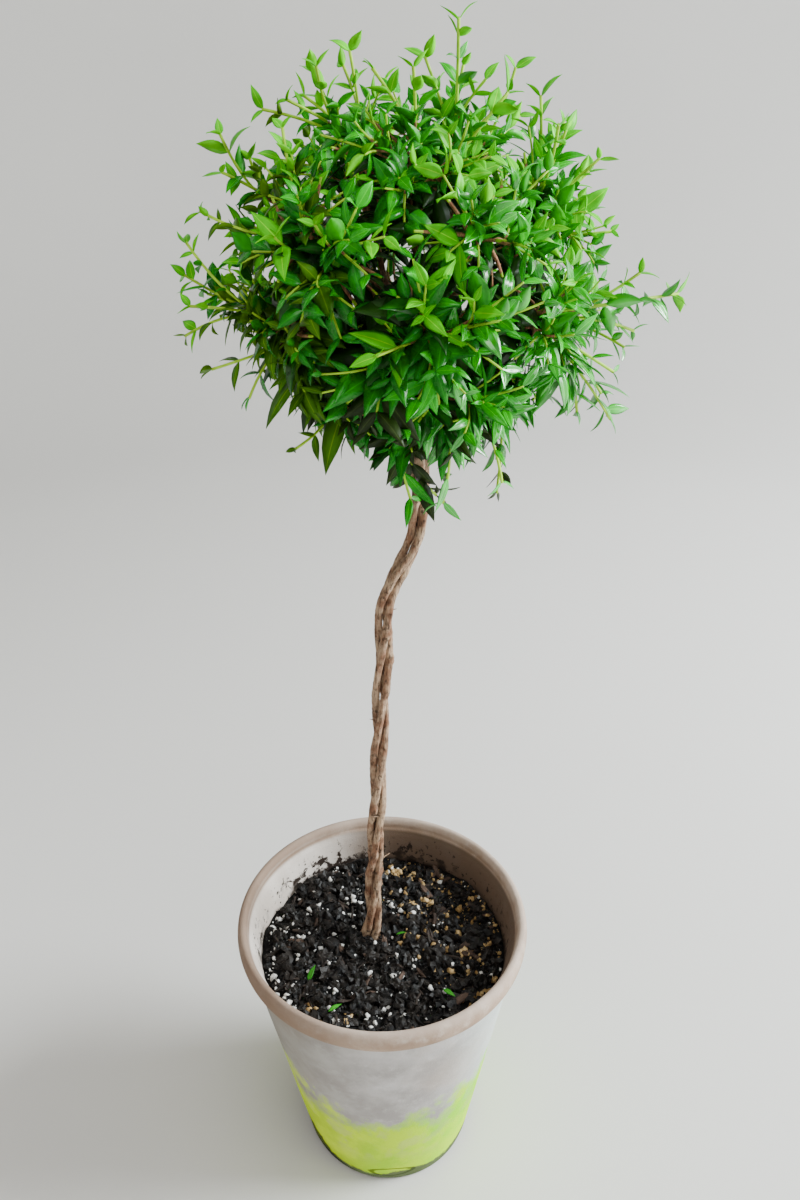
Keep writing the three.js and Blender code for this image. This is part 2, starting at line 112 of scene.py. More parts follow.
random = np.random.default_rng(1623)


def chance(a, b):
    """A number from 0 to 1, always the same for the same two."""
    x = math.sin(a * 12.9898 + b * 78.233) * 43758.5453
    return x - math.floor(x)


def lerp(a, b, t):
    return a + (b - a) * t


def smoothstep(x, low, high):
    t = np.clip((x - low) / (high - low), 0, 1)
    return t * t * (3 - 2 * t)


def unit(v):
    return v / np.maximum(np.linalg.norm(v, axis=-1, keepdims=True), 1e-9)


def level(azimuth):
    return np.array([math.cos(azimuth), math.sin(azimuth), 0.0])


def aim(azimuth, rise):
    return level(azimuth) * math.cos(rise) + UP * math.sin(rise)


def aim_degrees(azimuth, rise):
    return aim(math.radians(azimuth), math.radians(rise))


def band(rings, sides, first=0, flipped=False):
    """Faces between rings of points that follow each other, all with the same number of sides."""
    faces = []
    for i in range(rings - 1):
        for j in range(sides):
            a, b = (first + i * sides + k for k in (j, (j + 1) % sides))
            faces.append([a, a + sides, b + sides, b] if flipped else [a, b, b + sides, a + sides])
    return faces


def new_object(name, points, faces, materials, smooth=True, face_material=None):
    """A mesh object from points in millimetres."""
    mesh = bpy.data.meshes.new(name)
    mesh.from_pydata((np.asarray(points) * MM).tolist(), [], faces)
    for material in materials:
        mesh.materials.append(material)
    if face_material is not None:
        mesh.polygons.foreach_set("material_index", np.asarray(face_material, np.int32))
    mesh.polygons.foreach_set("use_smooth", np.full(len(mesh.polygons), smooth))
    mesh.update()
    piece = bpy.data.objects.new(name, mesh)
    bpy.context.scene.collection.objects.link(piece)
    return piece


def srgb(code):
    """A linear colour from a hex code."""
    parts = [int(code[i:i + 2], 16) / 255 for i in (1, 3, 5)]
    return [p / 12.92 if p <= 0.04045 else ((p + 0.055) / 1.055) ** 2.4 for p in parts] + [1.0]


class Value:
    """A number or colour that varies over a material, with plain arithmetic."""

    def __init__(self, shader, socket):
        self.shader, self.socket = shader, socket

    def math(self, operation, other=0.0):
        return self.shader.add("ShaderNodeMath", {0: self, 1: other}, operation=operation)

    def __add__(self, other):
        return self.math("ADD", other)

    def __sub__(self, other):
        return self.math("SUBTRACT", other)

    def __mul__(self, other):
        return self.math("MULTIPLY", other)

    def __truediv__(self, other):
        return self.math("DIVIDE", other)

    def ramp(self, low, high):
        """0 below low, 1 above high, smooth between."""
        return self.shader.add("ShaderNodeMapRange", {"Value": self, "From Min": low, "From Max": high},
                               interpolation_type="SMOOTHSTEP")

    def sway(self, noise, spread):
        """This value moved with the noise, by up to half the spread to both sides."""
        return self + (noise - 0.5) * spread


class Shader:
    """A material's node tree, built one node at a time."""

    def __init__(self, name, gloss):
        self.material = bpy.data.materials.new(name)
        self.material.use_nodes = True
        self.tree = self.material.node_tree
        self.surface = self.tree.nodes["Principled BSDF"].inputs
        self.surface["Specular IOR Level"].default_value = gloss
        self.place = self.add("ShaderNodeTexCoord", out="Object")

    def put(self, socket, value):
        if isinstance(value, Value):
            self.tree.links.new(value.socket, socket)
        else:
            socket.default_value = srgb(value) if isinstance(value, str) else value

    def add(self, kind, inputs=(), out=0, **settings):
        """The output of a new node."""
        node = self.tree.nodes.new(kind)
        for key, value in settings.items():
            setattr(node, key, value)
        for key, value in dict(inputs).items():
            self.put(node.inputs[key], value)
        return Value(self, node.outputs[out])

    def axis(self, name):
        """One of the place's coordinates, in millimetres."""
        return self.add("ShaderNodeSeparateXYZ", {"Vector": self.place}, out=name) / MM

    def noise(self, size_mm, detail, rough=0.55, stretch=(1, 1, 1), shift=0.0):
        """Noise whose features are about so many millimetres across."""
        spread = self.add("ShaderNodeMapping", {"Vector": self.place, "Scale": stretch,
                                                "Location": (shift, shift, shift)})
        return self.add("ShaderNodeTexNoise", {"Vector": spread, "Scale": 1000 / size_mm,
                                               "Detail": detail, "Roughness": rough}, out="Fac")

    def mix(self, share, under, over):
        """A colour with a share of another laid over it."""
        node = self.tree.nodes.new("ShaderNodeMix")
        node.data_type = "RGBA"
        self.put(node.inputs["Factor"], share)
        for socket, value in zip([s for s in node.inputs if s.type == "RGBA"], (under, over)):
            self.put(socket, value)
        return Value(self, next(s for s in node.outputs if s.type == "RGBA"))

    def finish(self, colour, roughness, height=None, deep_mm=0.0, strength=1.0):
        self.put(self.surface["Base Color"], colour)
        self.put(self.surface["Roughness"], roughness)
        if height is not None:
            bump = {"Height": height, "Distance": deep_mm * MM, "Strength": strength}
            self.put(self.surface["Normal"], self.add("ShaderNodeBump", bump))
        return self.material


class Path:
    """A line of close points, read by shares of its length."""

    def __init__(self, points):
        self.points = np.asarray(points, float)
        steps = np.linalg.norm(np.diff(self.points, axis=0), axis=1)
        self.shares = np.concatenate([[0], np.cumsum(steps)])
        self.length = self.shares[-1]
        self.shares = self.shares / self.length

    def at(self, share):
        return np.array([np.interp(share, self.shares, self.points[:, k]) for k in range(3)]).T

    def along(self, share):
        step = 0.01
        return unit(self.at(np.minimum(share + step, 1)) - self.at(np.maximum(share - step, 0)))

    def stretch(self, start, end, count):
        return Path(self.at(np.linspace(start, end, count)))


def arc(start, bend, end, count=24):
    """A quadratic curve."""
    t = np.linspace(0, 1, count)[:, None]
    return Path((1 - t) ** 2 * start + 2 * t * (1 - t) * bend + t ** 2 * end)


def frames(points):
    """Two cross directions that turn as little as they can along a line of points."""
    tangents = unit(np.gradient(points, axis=0))
    side = np.cross(tangents[0], [0.3, 0.9, 0.1])
    sides = []
    for tangent in tangents:
        side = unit(side - tangent * np.dot(side, tangent))
        sides.append(side)
    sides = np.array(sides)
    return sides, np.cross(tangents, sides)


def tube(points, radii, sides):
    """Points and faces of a closed round limb. Radii has a row for each ring, of one value or one a side."""
    first, second = frames(points)
    turns = np.linspace(0, TURN, sides, endpoint=False)
    radii = np.broadcast_to(np.asarray(radii, float).reshape(len(points), -1), (len(points), sides))
    rings = (points[:, None] + first[:, None] * (radii * np.cos(turns))[..., None]
             + second[:, None] * (radii * np.sin(turns))[..., None])
    last = (len(points) - 1) * sides
    ends = [list(range(sides))[::-1], list(range(last, last + sides))]
    return rings.reshape(-1, 3), band(len(points), sides) + ends


class Heap:
    """Several closed shapes joined into one mesh."""

    def __init__(self):
        self.points, self.faces, self.count = [], [], 0

    def add(self, points, faces):
        self.points.append(points)
        self.faces.extend([[v + self.count for v in face] for face in faces])
        self.count += len(points)

    def make(self, name, material, smooth=True):
        return new_object(name, np.concatenate(self.points), self.faces, [material], smooth)


def share_of_trunk(z):
    return (z - SOIL_LEVEL) / (STEMS["fork"] - SOIL_LEVEL)


def flare_at(z):
    return 1 + STEMS["flare"] * np.exp(-(z - SOIL_LEVEL) / STEMS["flare_height"])


def stem_azimuth(stem):
    return math.radians(STEMS["first_azimuth"] + 360 / STEMS["count"] * stem)


def trunk_axis(z):
    across = STEMS["cross_over"] * smoothstep(z, STEMS["cross_from"], STEMS["cross_to"])
    x = STEMS["root"][0] + STEMS["lean"] * (z - SOIL_LEVEL) + across
    return np.array([x, lerp(STEMS["root"][1], CROWN["centre"][1], share_of_trunk(z)), z])


def twisted(stem, z):
    azimuth = stem_azimuth(stem) - TURN * (STEMS["fork"] - z) / STEMS["twist_pitch"]
    return trunk_axis(z) + level(azimuth) * STEMS["twist_radius"] * flare_at(z)


def stem_radius(z):
    twisted_part = lerp(STEMS["base_radius"], STEMS["fork_radius"], np.clip(share_of_trunk(z), 0, 1))
    free = np.clip((z - STEMS["fork"]) / (CROWN["centre"][2] - STEMS["fork"]), 0, 1)
    return np.where(z <= STEMS["fork"], twisted_part * flare_at(z),
                    lerp(STEMS["fork_radius"], STEMS["tip_radius"], free))


def crown_reach(direction):
    upright = CROWN["up"] if direction[2] > 0 else CROWN["down"]
    return 1 / math.hypot(math.hypot(direction[0], direction[1]) / CROWN["across"], direction[2] / upright)


def in_crown(direction, share):
    return CROWN["centre"] + direction * share * crown_reach(direction)


def free_end(stem):
    start = twisted(stem, STEMS["fork"])
    end = in_crown(aim(stem_azimuth(stem), math.radians(RINGS[0]["rise"])), CROWN["hub"])
    bend = lerp(start, end, 0.2)
    bend[2] = (start[2] + end[2]) / 2
    return arc(start, bend, end)


def stem_path(stem):
    heights = np.linspace(SOIL_LEVEL - 3, STEMS["fork"], 200)[:-1]
    return Path(np.concatenate([[twisted(stem, z) for z in heights], free_end(stem).points]))


def bough_path(stem, attach, azimuth, direction):
    on_stem = free_end(stem).at(attach)
    leaving = unit(level(azimuth) + UP * BOUGH["climb"])
    start = on_stem + level(azimuth) * (stem_radius(on_stem[2]) * 0.4)
    end = in_crown(direction, CROWN["hub"])
    return arc(start, start + leaving * BOUGH["bend"] * np.linalg.norm(end - start), end)


def make_masses(stems):
    masses = []
    for ring in RINGS:
        on_stem = [0] * len(stems)
        for i in range(ring["count"]):
            azimuth = math.radians(ring["turn"] + 360 / ring["count"] * i)
            direction = aim(azimuth, math.radians(ring["rise"]))
            stem = int(np.argmax([math.cos(azimuth - stem_azimuth(k)) for k in range(len(stems))]))
            mass = dict(direction=direction, site=in_crown(direction, 0.8), bough=ring["attach"] is not None)
            if mass["bough"]:
                attach = ring["attach"] + BOUGH["attach_step"] * on_stem[stem]
                on_stem[stem] += 1
                mass.update(path=bough_path(stem, attach, azimuth, direction), cut=BOUGH["cut_at"],
                            cut_radius=BOUGH["cut_radius"])
            else:
                free = free_end(stem).length / stems[stem].length
                mass.update(path=stems[stem], cut=1 - free * (1 - STEMS["tip_at"]),
                            cut_radius=STEMS["tip_radius"])
            masses.append(mass)
    return masses


def drawn_in(direction):
    share = 1
    for middle, depth in DRAWN_IN:
        share -= depth * float(smoothstep(np.dot(direction, middle), 0.6, 0.97))
    return share


def shoot_tips():
    tips = [dict(number=SHOOTS["count"] + i, direction=aim_degrees(azimuth, rise), reach=reach)
            for i, (azimuth, rise, reach) in enumerate(LONG_SHOOTS)]
    for i in range(SHOOTS["count"]):
        height = 1 - (i + 0.5) / SHOOTS["count"] * (1 - SHOOTS["lowest"])
        direction = aim(i * GOLDEN_TURN, math.asin(height))
        if any(math.acos(min(1, np.dot(t["direction"], direction))) < SHOOTS["apart"] for t in tips):
            continue
        tips.append(dict(number=i, direction=direction,
                         reach=lerp(SHOOTS["shortest"], SHOOTS["longest"], chance(i, 1))))
    for tip in tips:
        tip["tip"] = in_crown(tip["direction"], tip["reach"] * drawn_in(tip["direction"]))
        tip.update(kind="own", long=tip["number"] >= SHOOTS["count"], radius=SHOOT_RADIUS)
    return tips


def mass_of(point, masses):
    return int(np.argmin([np.linalg.norm(point - mass["site"]) for mass in masses]))


def grow_shoots(masses):
    """The source's shoots, on every mass's stem."""
    shoots = shoot_tips()
    for shoot in shoots:
        shoot["mass"] = mass_of(shoot["tip"], masses)
    for k, mass in enumerate(masses):
        own = [shoot for shoot in shoots if shoot["mass"] == k]
        own.sort(key=lambda shoot: -np.dot(shoot["direction"], mass["direction"]))
        for i, shoot in enumerate(own):
            share = lerp(mass["cut"], 1, 0.96 - 0.8 * i / len(own))
            start, along = mass["path"].at(share), mass["path"].along(share)
            span = np.linalg.norm(shoot["tip"] - start)
            bend = start + along * SHOOTS["bend"] * span
            if shoot["long"]:
                to_side = level(TURN * chance(shoot["number"], 50))
                bend = bend + to_side * BOW["side"] * span + UP * BOW["up"] * span
            shoot["path"] = arc(start, bend, shoot["tip"])
    return shoots


def grow_finer(shoots):
    """The finer shoots, each forked from the one nearest to its direction."""
    spread = []
    for group in (FINE, INSIDE, BARE):
        for i in range(group["count"]):
            number = group["first"] + i
            height = 1 - (i + 0.5) / group["count"] * (1 - group["lowest"])
            reach = lerp(group["shortest"], group["longest"], math.sqrt(chance(number, 1)))
            direction = aim(i * GOLDEN_TURN + group["first"], math.asin(height))
            spread.append((group["kind"], number, direction, reach * drawn_in(direction), group))
    for i, (azimuth, rise, reach) in enumerate(EDGE_SHOOTS):
        spread.append(("edge", FIRST_EDGE + i, aim_degrees(azimuth, rise), reach, FINE))
    finer = []
    for kind, number, direction, reach, group in spread:
        tip = in_crown(direction, reach)
        parent = max(shoots, key=lambda s: np.dot(s["direction"], direction) - (0.004 if s["long"] else 0))
        share = lerp(group["fork_from"], group["fork_to"], chance(number, 2)) * min(1, 1 / parent["reach"])
        start, along = parent["path"].at(share), parent["path"].along(share)
        span = np.linalg.norm(tip - start)
        # The upper shoots turn up towards their tips.
        bend = start + along * 0.45 * span - UP * 0.16 * span * smoothstep(direction[2], -0.1, 0.6)
        finer.append(dict(kind=kind, number=number, direction=direction, long=kind == "edge",
                          path=arc(start, bend, tip, 16), radius=group["radius"]))
    return finer


class LeafShape:
    """One leaf's outline, as its width at stations along it, with a short stalk and a long point.
    Columns are places across the upper face, from edge to edge."""

    def __init__(self, stations, widths, columns):
        self.stations, self.widths = np.array(stations), np.array(widths)
        self.columns = np.array(columns)

    def faces(self):
        """Faces of one leaf and the material of each: 0 the upper face, 1 the rib, 2 the underside."""
        around = len(self.columns) + 1
        kinds = [int(abs(a + b) < 0.01) for a, b in zip(self.columns, self.columns[1:])] + [2, 2]
        last, tip = (len(self.stations) - 1) * around, len(self.stations) * around
        faces = band(len(self.stations), around)
        faces += [[last + j, last + (j + 1) % around, tip] for j in range(around)]
        faces.append(list(range(around))[::-1])
        return faces, kinds * len(self.stations) + [2]

    def points(self, leaf):
        """Points of many leaves at once, from an array for each of the fields."""
        around = len(self.columns) + 1
        t = np.append(np.repeat(self.stations, around), 1.0)
        width = np.append(np.repeat(self.widths, around), 0.0)
        s = np.append(np.tile(np.append(self.columns, 0.0), len(self.stations)), 0.0)
        under = np.append(np.tile(np.arange(around) == around - 1, len(self.stations)), False)
        length, curl, fold = (leaf[key][:, None] for key in ("length", "curl", "fold"))
        axis = leaf["axis"]
        face = unit(leaf["face"] - axis * np.sum(leaf["face"] * axis, 1)[:, None])
        side = np.cross(axis, face)
        # The leaf bends back along its length: its slope is curl times the square of the share, summed up
        # in small steps.
        steps = 32
        angle = curl * t * t
        slope = curl * np.linspace(0, 1, steps + 1)[1:] ** 2
        low = np.minimum((t * steps).astype(int), steps - 1)
        part = t * steps - low
        run, fall = (np.concatenate([np.zeros_like(curl), np.cumsum(moved, 1) / steps], 1)
                     for moved in (np.cos(slope), np.sin(slope)))
        run, fall = (sums[:, low] * (1 - part) + sums[:, low + 1] * part for sums in (run, fall))
        normal = face[:, None] * np.cos(angle)[..., None] + axis[:, None] * np.sin(angle)[..., None]
        turn = (leaf["twist"][:, None] * t)[..., None]
        sides = side[:, None] * np.cos(turn) + normal * np.sin(turn)
        normal = normal * np.cos(turn) - side[:, None] * np.sin(turn)
        half = leaf["width"][:, None] / 2 * width
        across = s * half * np.cos(fold)
        lift = np.abs(s) * half * np.sin(fold) * (1 - 0.3 * np.abs(s))
        thick = LEAVES["thickness"] * (0.4 + 0.6 * width)
        raised = np.where(under, -thick * 0.75, np.where(np.abs(s) > 0.9, 0.0, thick * 0.25))
        return (leaf["root"][:, None] + axis[:, None] * (run * length)[..., None]
                - face[:, None] * (fall * length)[..., None]
                + sides * across[..., None] + normal * (lift + raised)[..., None])


FULL_LEAF = LeafShape([0.0, 0.06, 0.13, 0.24, 0.38, 0.53, 0.69, 0.83, 0.93],
                      [0.15, 0.15, 0.5, 0.9, 1.0, 0.93, 0.68, 0.36, 0.14],
                      [-1, -0.55, -0.06, 0.06, 0.55, 1])
MEDIUM_LEAF = LeafShape([0.0, 0.07, 0.15, 0.28, 0.44, 0.62, 0.8, 0.93],
                        [0.15, 0.16, 0.58, 0.94, 1.0, 0.82, 0.43, 0.14], [-1, -0.06, 0.06, 1])
PLAIN_LEAF = LeafShape([0.0, 0.1, 0.25, 0.45, 0.7, 0.9], [0.09, 0.3, 0.85, 1.0, 0.6, 0.18], [-1, 0, 1])
LEAF_FIELDS = ("root", "axis", "face", "length", "width", "curl", "fold", "twist")


class LeafPile:
    """Leaves of one kind."""

    def __init__(self, shape):
        self.shape, self.rows = shape, []

    def add(self, **leaf):
        self.rows.append([leaf[key] for key in LEAF_FIELDS])

    def make(self, name, materials):
        fields = {key: np.array([row[i] for row in self.rows]) for i, key in enumerate(LEAF_FIELDS)}
        points = self.shape.points(fields)
        faces, kinds = self.shape.faces()
        count = points.shape[1]
        every = [[v + count * n for v in face] for n in range(len(points)) for face in faces]
        return new_object(name, points.reshape(-1, 3), every, materials, True, kinds * len(points))


def grow_leaves(shoots, piles):
    """Opposite pairs of leaves on every shoot, small and upright at its tip."""
    for shoot in shoots:
        path, number = shoot["path"], shoot["number"]
        if shoot["kind"] == "bare":
            continue
        fine, inside = shoot["kind"] == "fine", shoot["kind"] == "inside"
        first = 0.28 if fine else 0.24
        above, ahead = shoot["direction"][2], -shoot["direction"][1]
        # Leaves are larger and further apart on the side where the lower shoots hang out into the light.
        front = float(smoothstep(ahead, 0.0, 0.8) * smoothstep(-above, -0.75, -0.25))
        hang = float(smoothstep(ahead, -0.1, 0.5) * smoothstep(-above, -0.1, 0.4))
        spacing = lerp(LEAVES["low_spacing"], LEAVES["top_spacing"], float(smoothstep(above, -0.1, 0.4)))
        spacing *= 1 + 0.22 * front + 0.3 * hang
        size = 1 + 0.36 * front
        if shoot["long"] and above > 0.45:
            spacing, size = spacing * 1.35, 0.95
        elif shoot["long"] and above > -0.5:
            size *= 0.72
        pairs = max(3, round(path.length * (1 - first) / spacing))
        vigour = 0.84 + 0.32 * chance(number, 3)
        for i in range(pairs):
            # Pairs stand closer together towards the tip.
            at = lerp(0.985, first, (1 - i / (pairs - 1)) ** 1.25)
            root, along = path.at(at), path.along(at)
            # Youth runs from 0 on grown leaves to 1 at a shoot's tip.
            youth = max(0.0, 1 - (pairs - 1 - i) / 3) * (0.72 + 0.28 * chance(number, 4)) * (not inside)
            outward = unit(root - CROWN["centre"])
            across = unit(np.cross(along, UP) + 1e-6)
            other = np.cross(along, across)
            # Leaves are larger and hang more in the lower half of the head.
            low = float(smoothstep(-outward[2], -0.45, 0.45))
            droop = low + 0.75 * float(smoothstep(-outward[0], 0.4, 0.85))
            grown = 1 - youth
            for half in (0, 1):
                key = number * 7 + i * 2 + half
                # The front is thinned, so that twigs and dark leaves show between its sprays.
                if fine and youth == 0 and chance(key, 60) < 0.55 * ahead:
                    continue
                turn = (i + 2 * half + 0.35 * chance(number, 40 + i) + 0.3 * chance(key, 5)) * math.pi / 2
                out = across * math.cos(turn) + other * math.sin(turn)
                axis = unit(out * 0.9 + along * lerp(0.8, 0.5, grown)
                            + UP * (0.2 * youth - (0.1 + 0.95 * droop) * grown * chance(key, 6))
                            + outward * 0.25 * grown)
                full = lerp(LEAVES["top_length"], LEAVES["low_length"], low) * size
                length = lerp(full, LEAVES["tip_length"], youth ** 0.9) * vigour
                length *= lerp(0.7, 1.27, chance(key, 7))
                slim = lerp(0.3, 0.43, chance(number, 8)) * (1 - 0.18 * hang)
                # Young leaves at the top are broader for their length.
                slim = lerp(slim, 0.48, youth * (1 - low))
                curl = lerp(0.2, 1.15 + 0.4 * (droop - low), chance(key, 10)) * lerp(1, 0.6, youth)
                face = outward * (0.4 + 0.8 * chance(key, 9)) + UP * 0.7 + 0.5 * (random.random(3) - 0.5)
                # The upper leaves are tipped to one side or another.
                face += (1 - low) * level(TURN * chance(key, 61))
                kind = "inside" if inside else leaf_kind(shoot, youth, outward, root, key)
                piles[kind].add(
                    root=root - axis * 0.2, axis=axis, face=face, length=length,
                    width=length * slim, curl=curl, twist=0.9 * (chance(key, 12) - 0.5),
                    fold=math.radians(lerp(7, 22, chance(key, 11))))


def leaf_kind(shoot, youth, outward, root, key):
    """Tips are young. Leaves in the light get glossy or bright greens as painted light, the others deeper
    green, partly as painted shade within and low in the head. Those on the far left are olive, partly as
    painted warm light, and some below take painted shade."""
    number, (x, y, z) = shoot["number"], outward
    out = np.linalg.norm((root - CROWN["centre"]) / np.array([CROWN["across"], CROWN["across"], CROWN["up"]]))
    if youth > 0.5 and (shoot["long"] or chance(number, 25) > 0.62) and z > -0.1:
        return "young"
    # Olive on the far left, partly painted warm light.
    if x < -0.5 and chance(number, 20) < 0.55:
        return "olive"
    # Painted light: bright glossy greens out on the right, low in the head.
    if x > 0.1 and y < 0.1 and z < 0.1 and out > 0.55 and chance(number, 27) < 0.45:
        return "sunny"
    # Painted shade below the head, towards the left.
    if z < -0.3 and z + 0.9 * x < -0.35 and chance(number, 26) < 0.4:
        return "shade"
    # Fresh is partly youth and chance, and partly painted light outward, higher and to the right. Low values
    # give deeper greens, partly painted shade.
    fresh = 0.6 * out + 0.4 * chance(number, 21) + 0.15 * chance(key, 22) + 0.3 * youth
    fresh += 0.14 * z + 0.1 * x - 0.07 * max(0.0, -y)
    if fresh > 0.92 - 0.15 * x and x > 0.05 and chance(number, 23) < 0.3 + 0.35 * x:
        return "sunny"
    if fresh > 0.96:
        return "bright"
    return "mid" if fresh > 0.66 else "deep"


def leaf_material(name, code, rough, gloss):
    """A leaf's face: one green, a little lighter and darker from leaf to leaf, with a faint waviness."""
    shader = Shader(name, gloss)
    base = srgb(code)
    dark = [c * 0.72 for c in base[:3]] + [1]
    light = [min(1, c * 1.3) for c in base[:3]] + [1]
    spread, grain = shader.noise(9, 2), shader.noise(1.6, 2, shift=3.0)
    return shader.finish(shader.mix(spread.ramp(0.32, 0.68), dark, light), grain * 0.16 + (rough - 0.08),
                         grain, 0.12, 0.35)


def leaf_set(kind, top, rib, under, rough, gloss):
    """The materials of a leaf's upper face, its rib and its underside."""
    return [leaf_material(f"{kind}_{side}", code, rough + duller, gloss)
            for side, code, duller in (("top", top, 0), ("rib", rib, 0.1), ("under", under, 0.2))]


def bark_material(name, dark, mid, light, size=1.0):
    """Fissured bark: long dark cracks over tan and grey-brown, with paler flakes."""
    shader = Shader(name, 0.25)
    patches = shader.noise(9 * size, 5, shift=1.0)
    cracks = shader.noise(1.1 * size, 6, 0.7, (1, 1, 0.16))
    flakes = shader.noise(3.2 * size, 4, stretch=(1, 1, 0.5), shift=5.0)
    spots = shader.noise(2.2 * size, 5, 0.65, (1, 1, 0.6), 8.0)
    colour = shader.mix(patches.ramp(0.35, 0.65), mid, light)
    colour = shader.mix(flakes.ramp(0.55, 0.7) * 0.5, colour, light)
    colour = shader.mix(cracks.ramp(0.52, 0.34) * 0.7, colour, dark)
    colour = shader.mix(flakes.ramp(0.44, 0.3) * 0.45, colour, dark)
    colour = shader.mix(spots.ramp(0.54, 0.66) * 0.75, colour, dark)
    colour = shader.mix(spots.ramp(0.4, 0.32) * 0.5, colour, light)
    return shader.finish(colour, patches * 0.2 + 0.68, cracks - spots.ramp(0.5, 0.7) * 0.5, 0.9 * size)


def bare_clay(shader, x, z, wide, fine):
    """A grey bloom on the body and a warmer collar. Painted shade makes both darker and browner on the left,
    and painted light makes the body pale on the right.
    """
    # Painted shade on the pot's left side and painted light on its right side.
    painted_shade_left, painted_light_right = x.ramp(4, -62), x.ramp(24, 66)
    drift = shader.noise(60, 3, shift=7.0)
    body = shader.mix(wide.ramp(0.34, 0.64), "#a39d9b", "#c6c2c1")
    body = shader.mix(fine.ramp(0.5, 0.75) * 0.3, body, "#e2e1e1")
    body = shader.mix(drift.ramp(0.5, 0.66) * 0.5, body, "#b6a89d")
    body = shader.mix(painted_shade_left * 0.7, body, "#7a7466")
    body = shader.mix(painted_light_right * 0.6, body, "#dce9e3")
    height = z.sway(fine, 12)
    collar = shader.mix(wide.ramp(0.35, 0.65), "#9c8370", "#b8a18f")
    collar = shader.mix(fine.ramp(0.5, 0.75) * 0.35, collar, "#d2c4b8")
    collar = shader.mix(height.ramp(158, 165) * 0.3, collar, "#cdc2b8")
    collar = shader.mix(painted_shade_left * 0.8, collar, "#7d6655")
    colour = shader.mix(height.ramp(149, 153.5), body, collar)
    line = z.ramp(147.5, 150.5) * z.ramp(153.5, 151.5)
    return shader.mix(line * 0.5, colour, "#e3dfdb")


def stained(shader, colour, x, z, wide, fine, runs):
    """A yellow-green stain, whose uneven upper edge stands higher on the left and the right."""
    edge = (x * x * 0.0027 + x * 0.125 + 78.5).sway(wide, 110).sway(runs, 50)
    depth = edge - z
    green = shader.mix(x.ramp(-45, 50), "#b0ce00", "#9cea00")
    green = shader.mix(wide.ramp(0.42, 0.6) * 0.5, green, "#dcf600")
    patch = shader.noise(15, 4, 0.6, (1, 1, 0.8), 15.0).ramp(0.5, 0.62) * z.ramp(12, 45)
    green = shader.mix(patch * 0.3, green, "#b5ac92")
    film = depth.ramp(-5, 8) * 0.6 + depth.ramp(4, 24) * 0.4
    return shader.mix(film * (fine.ramp(0.56, 0.74) * -0.06 + 1.0), colour, green)


def dark_foot(shader, colour, x, y, z, wide, fine, runs):
    """A dark foot, black that climbs higher from it on the left, and dark chips round a spot at the front."""
    edge = (fine * 8 + 4.5).sway(wide, 18)
    foot = shader.mix(fine, "#343b2c", "#6b725c")
    colour = shader.mix((edge - z).ramp(-1, 1.4) * 0.94, colour, foot)
    climb = (x.ramp(-30, -48) * 17 + 8).sway(fine, 24)
    left_black = (climb - z).ramp(-0.5, 2) * x.ramp(-14, -38)
    colour = shader.mix(left_black * 0.88, colour, "#1b1a18")
    across, up = x / 12.5, (z - 9.5) / 4.2
    ring = ((across * across + up * up).math("SQRT") - (runs * 0.5 + 0.75)).math("ABSOLUTE")
    chip = ring.ramp(0.2, 0.08) * y.ramp(-20, -30)
    return shader.mix(chip * 0.75, colour, "#35400f")


def clay_inside(shader, x, y, z, wide, fine):
    """Pale clay at the left, brown at the right and the back from painted shadow with some soil stain, and
    dark smears above the soil.
    """
    inner = shader.mix(wide.ramp(0.35, 0.65), "#bfb3a8", "#d6ccc3")
    # Painted shadow, with some soil stain, browns the inner wall at the right and the back.
    inner = shader.mix((x + y * 0.45).ramp(-20, 45) * 0.92, inner, "#55402f")
    reach = fine.ramp(0.42, 0.72) * 18 + (SOIL_LEVEL + 1.5)
    smear = (reach - z).ramp(-1, 3) * wide.ramp(0.4, 0.56)
    speck = shader.noise(3.0, 5, shift=9.0).ramp(0.6, 0.66) * z.ramp(157, 146)
    return shader.mix(smear.math("MAXIMUM", speck), inner, "#2a211c")


def pot_material():
    """Weathered clay. Its places are in millimetres, like the pot's own sizes."""
    shader = Shader("clay_pot", 0.15)
    x, y, z = (shader.axis(name) for name in "XYZ")
    wide, fine = shader.noise(34, 5, 0.6), shader.noise(7, 6, 0.65, shift=2.0)
    grit = shader.noise(0.9, 3, shift=4.0)
    runs = shader.noise(11, 5, 0.7, (1, 1, 0.45), 11.0)
    colour = bare_clay(shader, x, z, wide, fine)
    colour = stained(shader, colour, x, z, wide, fine, runs)
    colour = dark_foot(shader, colour, x, y, z, wide, fine, runs)
    wall = z * POT_SLOPE + inner_radius(0)
    inside = (wall - (x * x + y * y).math("SQRT")).ramp(-2.5, -1.5) * z.ramp(162.5, 160.5)
    colour = shader.mix(inside, colour, clay_inside(shader, x, y, z, wide, fine))
    return shader.finish(colour, fine * 0.18 + 0.72, fine * 0.6 + grit * 0.4, 0.7, 0.6)


def grain_material(name, dark, light, rough, size, bump):
    """Two tones in broad patches, with lighter grain."""
    shader = Shader(name, 0.3)
    grain, broad = shader.noise(size, 5), shader.noise(size * 5, 2, shift=6.0)
    colour = shader.mix(broad.ramp(0.35, 0.65), dark, light)
    colour = shader.mix(grain.ramp(0.55, 0.7) * 0.5, colour, light)
    return shader.finish(colour, grain * 0.2 + (rough - 0.1), grain, bump, 0.7)


def inner_radius(z):
    return POT["foot_radius"] + POT_SLOPE * z - POT["wall"]


